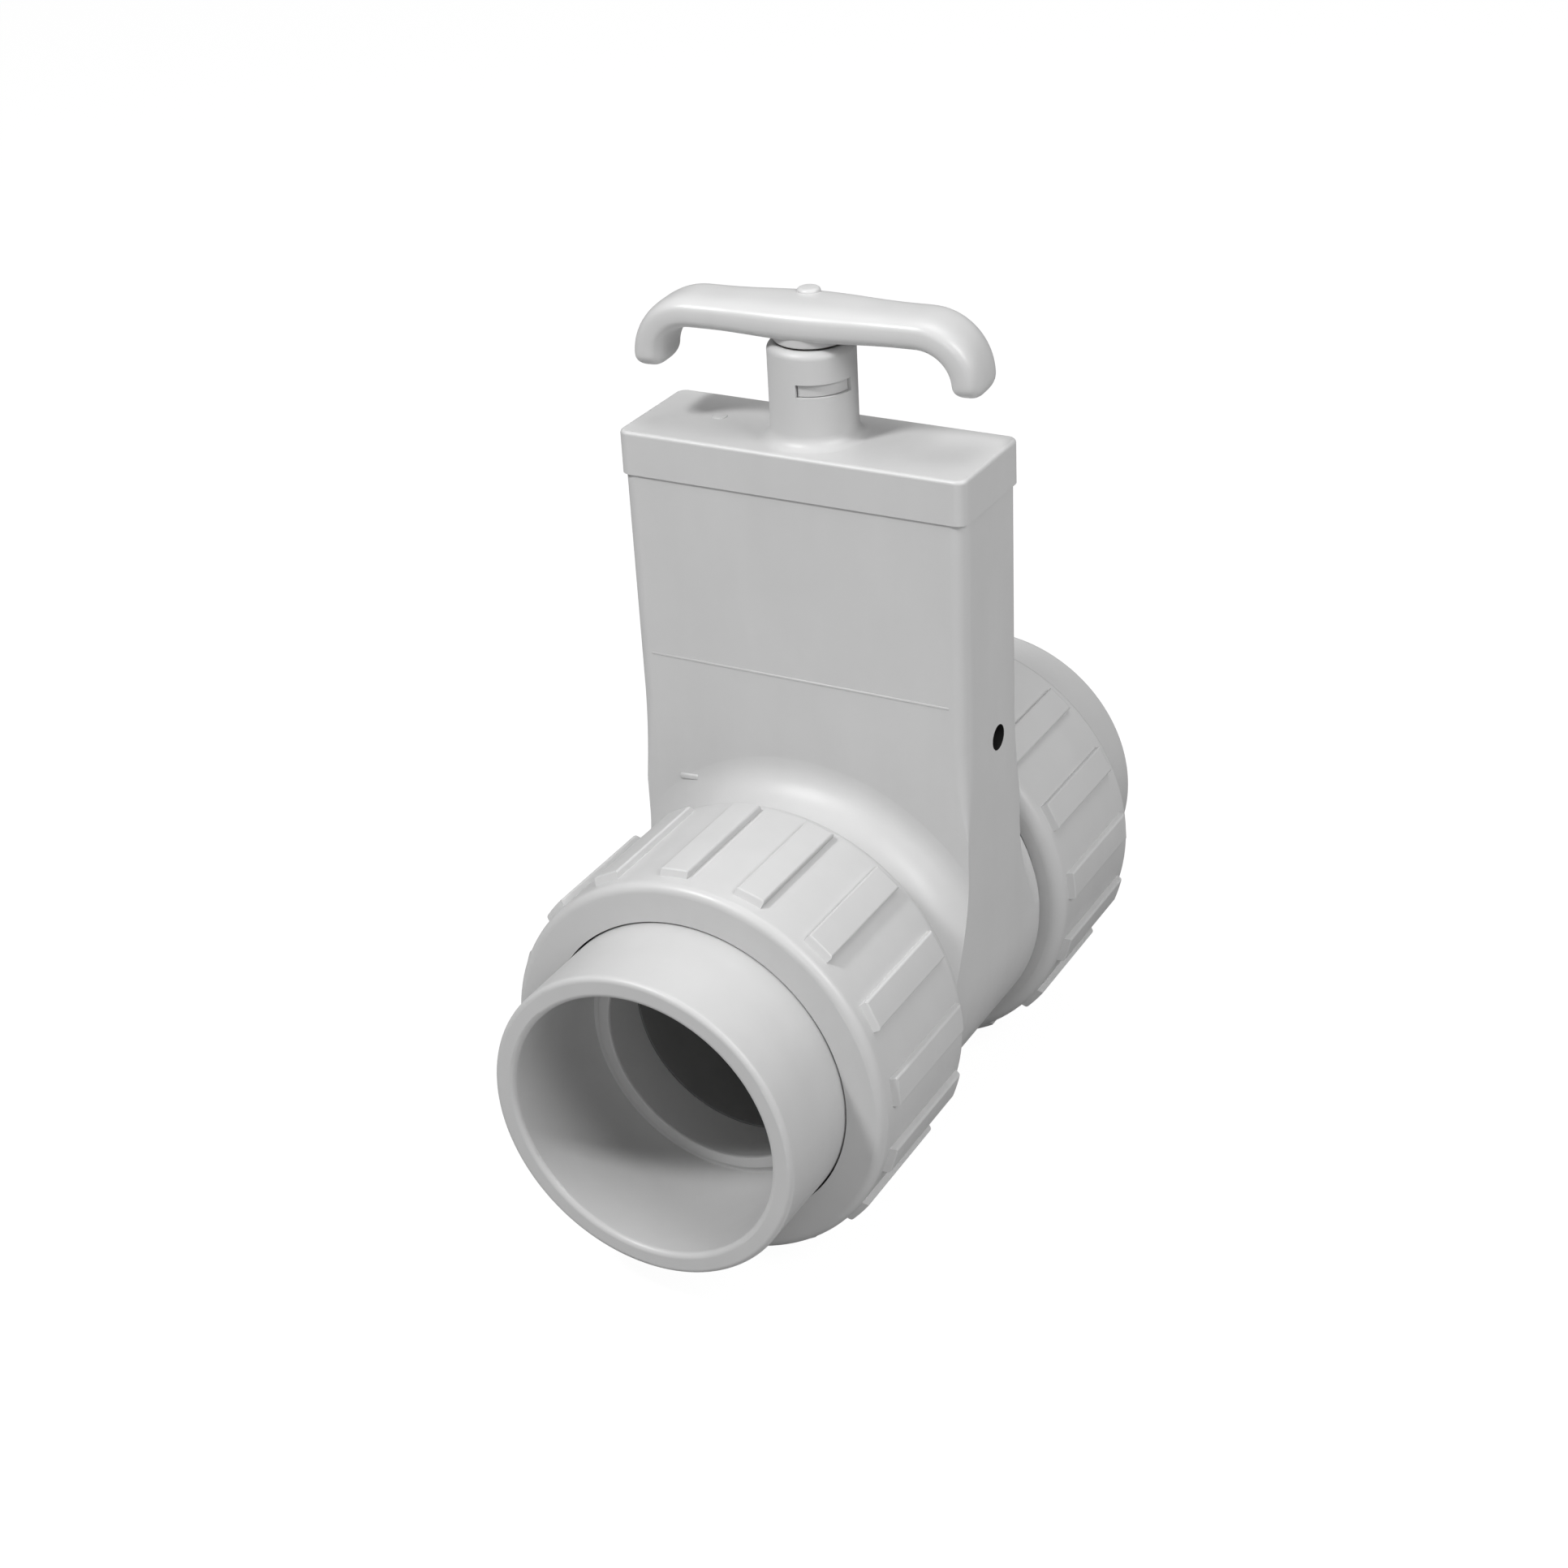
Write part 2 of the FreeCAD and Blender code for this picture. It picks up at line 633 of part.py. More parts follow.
def make_union_nut(label, turn):
    """Ribbed union nut: sixteen drafted grip ribs round a smooth, rounded ring."""
    body = new_body(label)
    body.Placement = Placement(Vector(0, 0, 0), nut_rotation(turn))
    profile = new_sketch(body, "nut_profile", "XY_Plane")
    add_polygon(profile, [
        ("nut_bore_radius", "nut_inner_out"), ("nut_radius", "nut_inner_out"),
        ("nut_radius", "nut_outer_out"), ("nut_hole_radius", "nut_outer_out"),
        ("nut_hole_radius", "nut_wall_out"), ("nut_bore_radius", "nut_wall_out"),
    ])
    ring = spin(body, "Revolution", "ring", profile, "V_Axis")
    radius, front, back = value("nut_radius"), value("nut_outer_out"), value("nut_inner_out")
    ring = soften(body, "Fillet", "front_edge", ring,
                  lambda edge: is_circle(edge, radius, front), "nut_front_round")
    soften(body, "Fillet", "back_edge", ring,
           lambda edge: is_circle(edge, radius, back), "nut_back_round")
    rib_sketch = new_sketch(body, "rib_profile", "XY_Plane")
    top = "nut_radius + rib_height"
    add_polygon(rib_sketch, [
        ("nut_radius - rib_height", "rib_start_out"), ("nut_radius", "rib_start_out"),
        (top, "rib_start_out + rib_draft"), (top, "rib_end_out - rib_draft"),
        ("nut_radius", "rib_end_out"), ("nut_radius - rib_height", "rib_end_out"),
    ])
    rib = spin(body, "Revolution", "rib", rib_sketch, "V_Axis")
    bind(rib, "Angle", "rib_span")
    ribs = polar(body, "ribs", rib, "Y_Axis", RIB_COUNT)
    rib_top = value(top)

    def on_rib_crown(edge):
        ends = [math.hypot(vertex.X, vertex.Z) for vertex in edge.Vertexes]
        return len(ends) == 2 and all(near(end, rib_top) for end in ends)
    soften(body, "Fillet", "rib_crowns", ribs, on_rib_crown, "rib_round")
    return body


def nut_rotation(turn):
    """Ribs start at the phase seen in the photograph, whichever way the nut faces."""
    phase = value("rib_phase")
    return Rotation(Vector(0, 1, 0), -phase).multiply(Rotation(Vector(0, 0, 1), turn))


def make_ends():
    """Both ends of the valve: the front one is the rear one turned half round the stem."""
    pieces = []
    for side, turn, sign in (("front", 180.0, -1), ("rear", 0.0, 1)):
        pieces.append(make_seat_ring(f"{side}_seat_ring", turn))
        pieces.append(make_seat_sleeve(f"{side}_seat_sleeve", turn))
        sleeve_ring = "lining_radius - fit_gap - lining_ring_thick / 2"
        pieces.append(torus(f"{side}_sleeve_oring", sleeve_ring, "lining_ring_thick",
                            "axis_height", "lining_ring_out", sign))
        face_spot = "flange_out - fit_gap - face_ring_thick / 2"
        pieces.append(torus(f"{side}_union_oring", "face_ring_radius", "face_ring_thick",
                            "axis_height", face_spot, sign))
        pieces.append(make_tailpiece(f"{side}_tailpiece", turn))
        pieces.append(make_union_nut(f"{side}_union_nut", turn))
    return pieces


# Blade, stem and handle, which slide together

def make_gate_blade():
    """Flat blade with a half-round bottom and a bevelled leading edge."""
    body = new_body("gate_blade")
    outline = new_sketch(body, "blade_outline", "XZ_Plane")
    add_round_bottom(outline, "blade_half_width", "blade_top")
    blade = extrude(body, "Pad", "blade", outline, "blade_thickness", both_ways=True)
    radius = value("blade_half_width")
    soften(body, "Chamfer", "leading_edge", blade, lambda edge: is_circle(edge, radius),
           "blade_bevel")
    holes = new_sketch(body, "pin_holes", "XZ_Plane")
    add_circle(holes, "pin_radius", "0", "pin_low")
    add_circle(holes, "pin_radius", "0", "pin_low + pin_pitch")
    body.Tip = extrude(body, "Pocket", "pins", holes, "2 * blade_thickness", both_ways=True)
    return body


def make_stem_rod():
    """Steel rod: forked over the blade at the bottom, turned down at the top."""
    body = new_body("stem_rod")
    profile = new_sketch(body, "rod_profile", "XZ_Plane")
    add_polygon(profile, [
        ("0", "fork_bottom"), ("rod_radius", "fork_bottom"), ("rod_radius", "insert_bottom"),
        ("rod_thread_radius", "insert_bottom"), ("rod_thread_radius", "insert_top"),
        ("0", "insert_top"),
    ])
    rod = spin(body, "Revolution", "rod", profile, "V_Axis")
    radius, bottom = value("rod_radius"), value("fork_bottom")
    soften(body, "Chamfer", "rod_end", rod, lambda edge: is_circle(edge, radius, bottom, "z"),
           "rod_end_chamfer")
    fork = new_sketch(body, "fork_slot", "YZ_Plane")
    half = "(blade_thickness / 2 + fit_gap)"
    add_rectangle(fork, f"-{half}", half, f"fork_bottom - {CUT_MARGIN}", "blade_top + fit_gap")
    extrude(body, "Pocket", "fork", fork, "4 * rod_radius", both_ways=True)
    holes = new_sketch(body, "pin_holes", "XZ_Plane")
    add_circle(holes, "pin_radius", "0", "pin_low")
    add_circle(holes, "pin_radius", "0", "pin_low + pin_pitch")
    body.Tip = extrude(body, "Pocket", "pins", holes, "4 * rod_radius", both_ways=True)
    return body


def make_stem_pins():
    """Two hollow pins through the fork and the blade."""
    tubes = []
    for name, height in (("low_pin", "pin_low"), ("high_pin", "pin_low + pin_pitch")):
        parts = []
        for part, radius in (("wall", "pin_radius"), ("hole", "pin_bore_radius")):
            rod = doc.addObject("Part::Cylinder", f"{name}_{part}")
            rod.Placement = Placement(Vector(0, 0, 0), Rotation(Vector(1, 0, 0), 90))
            bind(rod, "Radius", radius)
            bind(rod, "Height", "2 * rod_radius - 4 * fit_gap")
            bind(rod, "Placement.Base.y", "rod_radius - 2 * fit_gap")
            bind(rod, "Placement.Base.z", f"axis_height + {height}")
            parts.append(rod)
        tube = doc.addObject("Part::Cut", name)
        tube.Base, tube.Tool = parts
        tubes.append(tube)
    pins = doc.addObject("Part::Compound", "stem_pins")
    pins.Label = "stem_pins"
    pins.Links = tubes
    return pins


def make_handle_insert():
    """Metal insert with the female thread for the rod's top end."""
    body = new_body("handle_insert")
    ring = new_sketch(body, "insert_outline", "XY_Plane", "insert_bottom")
    add_circle(ring, "insert_radius")
    add_circle(ring, "rod_thread_radius")
    body.Tip = extrude(body, "Pad", "insert", ring, "insert_length")
    return body


def make_t_handle():
    """Pull handle: a swept bar with both ends turned down and a lofted swell over the hub."""
    body = new_body("t_handle", turn=value("handle_turn"))
    route = new_sketch(body, "bar_route", "XZ_Plane")
    add_bar_route(route)
    section = new_sketch(body, "bar_section", "XY_Plane", "tip_bottom")
    add_rounded_rectangle(section, ("-tip_middle", "0"), "bar_thickness", "bar_depth",
                          "bar_round")
    bar = body.newObject("PartDesign::AdditivePipe", "bar")
    bar.Profile = section
    bar.Spine = (route, [f"Edge{index}" for index in range(1, 6)])
    low = value("tip_bottom")

    def on_tip(edge):
        return edge.BoundBox.ZLength < 0.01 and near(edge.BoundBox.Center.z, low)
    soften(body, "Fillet", "tips", bar, on_tip, "tip_round")
    add_hub(body)
    return body


def add_bar_route(route):
    """Up from the left tip, along the straight and down to the right tip."""
    half, turn = value("bar_half_straight"), value("bar_turn_radius")
    middle, low, tip = value("bar_middle"), value("bend_bottom"), value("tip_bottom")
    end = half + turn
    left = Part.Circle(Vector(-half, low, 0), Vector(0, 0, 1), turn)
    right = Part.Circle(Vector(half, low, 0), Vector(0, 0, 1), turn)
    left_line = Part.LineSegment(Vector(-end, tip, 0), Vector(-end, low, 0))
    straight_line = Part.LineSegment(Vector(-half, middle, 0), Vector(half, middle, 0))
    right_line = Part.LineSegment(Vector(end, low, 0), Vector(end, tip, 0))
    left_drop = route.addGeometry(left_line)
    rise = route.addGeometry(Part.ArcOfCircle(left, math.pi / 2, math.pi))
    straight = route.addGeometry(straight_line)
    fall = route.addGeometry(Part.ArcOfCircle(right, 0, math.pi / 2))
    right_drop = route.addGeometry(right_line)
    route.addConstraint([
        Sketcher.Constraint("Coincident", left_drop, 2, rise, 2),
        Sketcher.Constraint("Coincident", rise, 1, straight, 1),
        Sketcher.Constraint("Coincident", fall, 2, straight, 2),
        Sketcher.Constraint("Coincident", right_drop, 1, fall, 1),
    ])
    place_point(route, straight, 1, "-bar_half_straight", "bar_middle")
    place_point(route, straight, 2, "bar_half_straight", "bar_middle")
    place_point(route, left_drop, 1, "-tip_middle", "tip_bottom")
    place_point(route, right_drop, 2, "tip_middle", "tip_bottom")
    for curve, end, sign in ((rise, 2, "-"), (fall, 1, "")):
        place_point(route, curve, 3, f"{sign}bar_half_straight", "bend_bottom")
        level = route.addConstraint(Sketcher.Constraint("DistanceY", -1, 1, curve, end, low))
        bind(route, f"Constraints[{level}]", "bend_bottom")


def add_hub(body):
    """The swell over the middle with its moulding nub, the hub under it and the insert's bore."""
    end_size = ("bar_middle", "(bar_depth - fit_gap)", "(bar_thickness - fit_gap)")
    hub_size = ("bar_middle", "swell_depth", "swell_thickness")
    stations = (("left_section", "-swell_half_length", end_size),
                ("hub_section", "0", hub_size),
                ("right_section", "swell_half_length", end_size))
    sections = []
    for name, offset, (height, depth, thickness) in stations:
        sketch = new_sketch(body, name, "YZ_Plane", offset)
        add_rounded_rectangle(sketch, ("0", height), depth, thickness, "bar_round")
        sections.append(sketch)
    swell = body.newObject("PartDesign::AdditiveLoft", "swell")
    swell.Profile = sections[0]
    swell.Sections = sections[1:]
    nub_sketch = new_sketch(body, "nub_outline", "XY_Plane", "bar_middle")
    add_circle(nub_sketch, "nub_radius")
    nub = extrude(body, "Pad", "nub", nub_sketch, "swell_thickness / 2 + nub_height")
    radius, top = value("nub_radius"), value("bar_middle + swell_thickness / 2 + nub_height")
    soften(body, "Fillet", "nub_edge", nub,
           lambda edge: is_circle(edge, radius, top, "z"), "nub_round")
    hub_sketch = new_sketch(body, "hub_outline", "XY_Plane", "hub_bottom")
    add_circle(hub_sketch, "hub_radius")
    extrude(body, "Pad", "hub", hub_sketch, "bar_middle - hub_bottom")
    bore_sketch = new_sketch(body, "insert_bore", "XY_Plane", "hub_bottom")
    add_circle(bore_sketch, "insert_radius")
    body.Tip = extrude(body, "Pocket", "bore", bore_sketch, "insert_top - hub_bottom",
                       backwards=True)


# Check every object and write one file for each piece

def check_document():
    doc.recompute()
    faults = [item.Name for item in doc.Objects
              if "Invalid" in item.State or "Error" in item.State]
    if faults:
        raise RuntimeError("failed objects: " + ", ".join(faults))


def write_pieces(pieces):
    os.makedirs("parts", exist_ok=True)
    for piece in pieces:
        shape = piece.Shape
        if shape.isNull() or not shape.isValid():
            raise RuntimeError("bad shape: " + piece.Label)
        shape.exportStep(os.path.join("parts", piece.Label + ".step"))
        box = shape.BoundBox
        print(f"{piece.Label}: {len(shape.Solids)} solid, {shape.Volume:.0f} mm3, "
              f"{box.XLength:.1f} x {box.YLength:.1f} x {box.ZLength:.1f}")


def main():
    pieces = [
        make_valve_body(),
        make_bonnet(),
        make_bonnet_gasket(),
        make_stem_bush(),
        make_stem_rings(),
        make_gate_blade(),
        make_stem_rod(),
        make_stem_pins(),
        make_handle_insert(),
        make_t_handle(),
    ]
    pieces.extend(make_ends())
    check_document()
    write_pieces(pieces)


main()
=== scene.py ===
import json
import math

import bmesh
import bpy
from mathutils import Matrix, Vector


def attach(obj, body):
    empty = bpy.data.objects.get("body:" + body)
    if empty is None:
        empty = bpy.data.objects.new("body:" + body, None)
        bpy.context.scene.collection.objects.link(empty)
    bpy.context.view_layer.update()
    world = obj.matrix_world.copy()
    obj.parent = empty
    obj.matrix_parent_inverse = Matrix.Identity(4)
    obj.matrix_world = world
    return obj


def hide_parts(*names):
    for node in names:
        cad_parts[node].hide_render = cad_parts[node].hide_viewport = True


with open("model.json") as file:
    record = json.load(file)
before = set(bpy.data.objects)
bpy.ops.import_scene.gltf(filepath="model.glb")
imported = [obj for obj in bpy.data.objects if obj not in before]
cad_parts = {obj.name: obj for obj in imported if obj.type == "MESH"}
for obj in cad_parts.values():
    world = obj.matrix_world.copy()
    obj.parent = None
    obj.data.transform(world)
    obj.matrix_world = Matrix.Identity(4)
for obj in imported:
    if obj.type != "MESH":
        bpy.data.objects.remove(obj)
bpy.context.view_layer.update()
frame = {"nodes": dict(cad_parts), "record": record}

# Places on the valve, in metres: x along the handle, y along the flow, z up from the floor
FLOW_AXIS = 0.04545
FRONT = -1
REAR = 1
PLATE_FRONT = -0.0132
CAP_TOP = FLOW_AXIS + 0.1183
PORT_CENTRE = (0.0024, FLOW_AXIS + 0.0543)
PORT_RADIUS = 0.00287
PORT_FLOOR = 0.0330
QUARTER_TURN = math.pi / 2.0


# Node helpers

def new_material(name):
    material = bpy.data.materials.new(name)
    material.use_nodes = True
    tree = material.node_tree
    for node in list(tree.nodes):
        if node.type != "OUTPUT_MATERIAL":
            tree.nodes.remove(node)
    return material, tree


def add_node(tree, kind, **settings):
    node = tree.nodes.new(kind)
    for key, value in settings.items():
        setattr(node, key, value)
    return node


def math_node(tree, operation, first, second=None, third=None):
    node = add_node(tree, "ShaderNodeMath", operation=operation)
    for index, value in enumerate((first, second, third)):
        if value is None:
            continue
        if isinstance(value, (int, float)):
            node.inputs[index].default_value = value
        else:
            tree.links.new(value, node.inputs[index])
    return node.outputs[0]


def noise_on(tree, coordinates, scale, detail=2.0, stretch=(1.0, 1.0, 1.0)):
    """Noise at so many waves a metre, stretched along the part's own axes."""
    mapping = add_node(tree, "ShaderNodeMapping")
    mapping.inputs["Scale"].default_value = stretch
    tree.links.new(coordinates, mapping.inputs["Vector"])
    noise = add_node(tree, "ShaderNodeTexNoise")
    noise.inputs["Scale"].default_value = scale
    noise.inputs["Detail"].default_value = detail
    tree.links.new(mapping.outputs["Vector"], noise.inputs["Vector"])
    return noise.outputs["Fac"]


def spread(tree, value, low, high, start=0.3, end=0.7):
    """A noise value spread over a range of roughness or of another number."""
    node = add_node(tree, "ShaderNodeMapRange")
    node.inputs["From Min"].default_value = start
    node.inputs["From Max"].default_value = end
    node.inputs["To Min"].default_value = low
    node.inputs["To Max"].default_value = high
    tree.links.new(value, node.inputs["Value"])
    return node.outputs["Result"]


def grey(tone):
    return (tone, tone, tone)


def blend(tree, share, first, second):
    """Two colours mixed by a value; each is three tones or another node's output."""
    node = add_node(tree, "ShaderNodeMix", data_type="RGBA")
    tree.links.new(share, node.inputs["Factor"])
    for socket, colour in ((node.inputs[6], first), (node.inputs[7], second)):
        if isinstance(colour, tuple):
            socket.default_value = (*colour, 1.0)
        else:
            tree.links.new(colour, socket)
    return node.outputs[2]


# Finishes

def principled(name):
    """A material of one shader, with the part's own coordinates for its noise."""
    material, tree = new_material(name)
    shader = add_node(tree, "ShaderNodeBsdfPrincipled")
    tree.links.new(shader.outputs["BSDF"], tree.nodes["Material Output"].inputs["Surface"])
    place = add_node(tree, "ShaderNodeTexCoord").outputs["Object"]
    return material, tree, shader, place


def roughen(tree, shader, height, strength, distance):
    bump = add_node(tree, "ShaderNodeBump")
    bump.inputs["Strength"].default_value = strength
    bump.inputs["Distance"].default_value = distance
    tree.links.new(height, bump.inputs["Height"])
    tree.links.new(bump.outputs["Normal"], shader.inputs["Normal"])


def moulded_plastic(name, tone, roughness, sheen_coat=0.0, mottle=0.02, hole=None):
    """Injection moulded plastic: faint mottling, a fine grain from the mould and uneven gloss."""
    material, tree, shader, place = principled(name)
    clouds = noise_on(tree, place, scale=55.0, detail=3.0)
    flow = noise_on(tree, place, scale=120.0, stretch=(1.0, 1.0, 0.18))
    both = math_node(tree, "MULTIPLY_ADD", clouds, 0.5, math_node(tree, "MULTIPLY", flow, 0.5))
    mixed = spread(tree, both, 0.0, 1.0, start=0.35, end=0.65)
    colour = blend(tree, mixed, grey(tone * (1.0 - mottle)), grey(tone * (1.0 + mottle)))
    # Painted shade: the blind hole in the housing's edge is coloured near black
    if hole is not None:
        colour = shade_hole(tree, place, colour, *hole)
    tree.links.new(colour, shader.inputs["Base Color"])
    smears = noise_on(tree, place, scale=90.0, detail=4.0)
    gloss = spread(tree, smears, roughness - 0.05, roughness + 0.07)
    tree.links.new(gloss, shader.inputs["Roughness"])
    pores = noise_on(tree, place, scale=1900.0)
    ripple = noise_on(tree, place, scale=260.0)
    relief = math_node(tree, "MULTIPLY_ADD", pores, 0.25, ripple)
    roughen(tree, shader, relief, strength=0.35, distance=0.00012)
    shader.inputs["IOR"].default_value = 1.53
    shader.inputs["Specular IOR Level"].default_value = 0.45
    shader.inputs["Coat Weight"].default_value = sheen_coat
    shader.inputs["Coat Roughness"].default_value = 0.22
    return material


def shade_hole(tree, place, colour, centre, radius, start):
    """Hardly any light gets into the blind hole in the edge, so its wall and floor are dark."""
    split = add_node(tree, "ShaderNodeSeparateXYZ")
    tree.links.new(place, split.inputs[0])
    across = add_node(tree, "ShaderNodeCombineXYZ")
    tree.links.new(split.outputs["Y"], across.inputs["Y"])
    tree.links.new(split.outputs["Z"], across.inputs["Z"])
    reach = add_node(tree, "ShaderNodeVectorMath", operation="DISTANCE")
    reach.inputs[1].default_value = (0.0, *centre)
    tree.links.new(across.outputs[0], reach.inputs[0])
    inside = math_node(tree, "LESS_THAN", reach.outputs["Value"], radius)
    right = math_node(tree, "GREATER_THAN", split.outputs["X"], start)
    # Painted shade: near-black colour where the hole's shade falls
    return blend(tree, math_node(tree, "MULTIPLY", inside, right), colour, grey(0.012))


def rubber(name):
    """Black rubber with a faint bloom."""
    material, tree, shader, place = principled(name)
    bloom = noise_on(tree, place, scale=140.0, detail=3.0)
    tree.links.new(blend(tree, bloom, grey(0.018), grey(0.034)), shader.inputs["Base Color"])
    tree.links.new(spread(tree, bloom, 0.52, 0.68), shader.inputs["Roughness"])
    roughen(tree, shader, noise_on(tree, place, scale=2600.0), strength=0.4, distance=0.00005)
    return material


def turned_metal(name, dark, light, stretch, roughness):
    """Drawn or turned metal, with fine lines one way."""
    material, tree, shader, place = principled(name)
    lines = noise_on(tree, place, scale=1500.0, detail=3.0, stretch=stretch)
    tree.links.new(blend(tree, lines, dark, light), shader.inputs["Base Color"])
    gloss = spread(tree, lines, roughness - 0.06, roughness + 0.08)
    tree.links.new(gloss, shader.inputs["Roughness"])
    roughen(tree, shader, lines, strength=0.35, distance=0.00002)
    shader.inputs["Metallic"].default_value = 1.0
    return material


finishes = {
    "housing_plastic": moulded_plastic(
        "housing white plastic", 0.565, 0.42, hole=(PORT_CENTRE, PORT_RADIUS, PORT_FLOOR)
    ),
    "tail_plastic": moulded_plastic("socket white plastic", 0.540, 0.40),
    "nut_plastic": moulded_plastic("union nut white plastic", 0.545, 0.40),
    "handle_plastic": moulded_plastic("handle white plastic", 0.585, 0.36, sheen_coat=0.10),
    "bush_plastic": moulded_plastic("bush natural plastic", 0.52, 0.45),
    "blade_plastic": moulded_plastic("blade dark plastic", 0.055, 0.42, mottle=0.08),
    # Painted shade: the lining's dark tone stands in for the shade deep in each socket
    "lining_plastic": moulded_plastic("lining painted shade plastic", 0.21, 0.48, mottle=0.06),
    "seal_rubber": rubber("black seal rubber"),
    "stem_steel": turned_metal(
        "drawn stem steel", grey(0.50), grey(0.66), (1.0, 1.0, 0.03), 0.28
    ),
    "insert_brass": turned_metal(
        "turned brass", (0.55, 0.39, 0.17), (0.74, 0.55, 0.27), (0.05, 0.05, 1.0), 0.30
    ),
}

slot_of = {part["node"]: part["material_slot"] for part in frame["record"]["subparts"]}
for name, node in frame["nodes"].items():
    finish = finishes[slot_of[name]]
    if node.data.materials:
        for index in range(len(node.data.materials)):
            node.data.materials[index] = finish
    else:
        node.data.materials.append(finish)


# Mesh helpers

def join_rings(shell, rings):
    """Walls between each closed ring of corners and the next."""
    count = len(rings[0])
    for first, second in zip(rings, rings[1:]):
        for step in range(count):
            after = (step + 1) % count
            shell.faces.new((first[step], first[after], second[after], second[step]))


def close_ends(shell, rings):
    shell.faces.new(rings[0])
    shell.faces.new(list(reversed(rings[-1])))


def add_turned(shell, profile, centre, steps=64, closed=False):
    """A turned shape about an upright line, from (radius, height) pairs."""
    turns = [math.tau * step / steps for step in range(steps)]
    rings = []
    for radius, height in profile:
        spots = [(radius * math.cos(turn), radius * math.sin(turn), height) for turn in turns]
        rings.append([shell.verts.new(centre + Vector(spot)) for spot in spots])
    if closed:
        join_rings(shell, rings + rings[:1])
    else:
        join_rings(shell, rings)
        close_ends(shell, rings)


def quarter(radius, height, round_size, steps=6):
    """A rounded outer edge that ends on top, as (radius, height) pairs."""
    turns = [QUARTER_TURN * step / steps for step in range(steps + 1)]
    return [(radius - round_size * (1.0 - math.cos(turn)),
             height - round_size * (1.0 - math.sin(turn))) for turn in turns]


def smooth_piece(name, shell, slot, sharp_degrees=None):
    """Turns a closed shell into a smooth object of one finish."""
    bmesh.ops.recalc_face_normals(shell, faces=shell.faces)
    mesh = bpy.data.meshes.new(name)
    shell.to_mesh(mesh)
    shell.free()
    for polygon in mesh.polygons:
        polygon.use_smooth = True
    if sharp_degrees is not None:
        mesh.set_sharp_from_angle(angle=math.radians(sharp_degrees))
    mesh.materials.append(finishes[slot])
    piece = bpy.data.objects.new(name, mesh)
    bpy.context.scene.collection.objects.link(piece)
    return piece


# Union threads
NECK_RADIUS = 0.0379
NUT_BORE = 0.03825
NECK_THREAD_START = 0.0272
NUT_THREAD_START = 0.0292
THREAD_SIZES = {
    "Ridge Height": 0.0003, "Pitch": 0.004, "Turns": 3.7, "Crest Width": 0.0010,
    "Foot Width": 0.0024, "Axis Height": FLOW_AXIS, "Run Out Turns": 0.3, "Sink": 0.0003,
    "Steps": 420,
}
THREAD_WELD = 0.000002


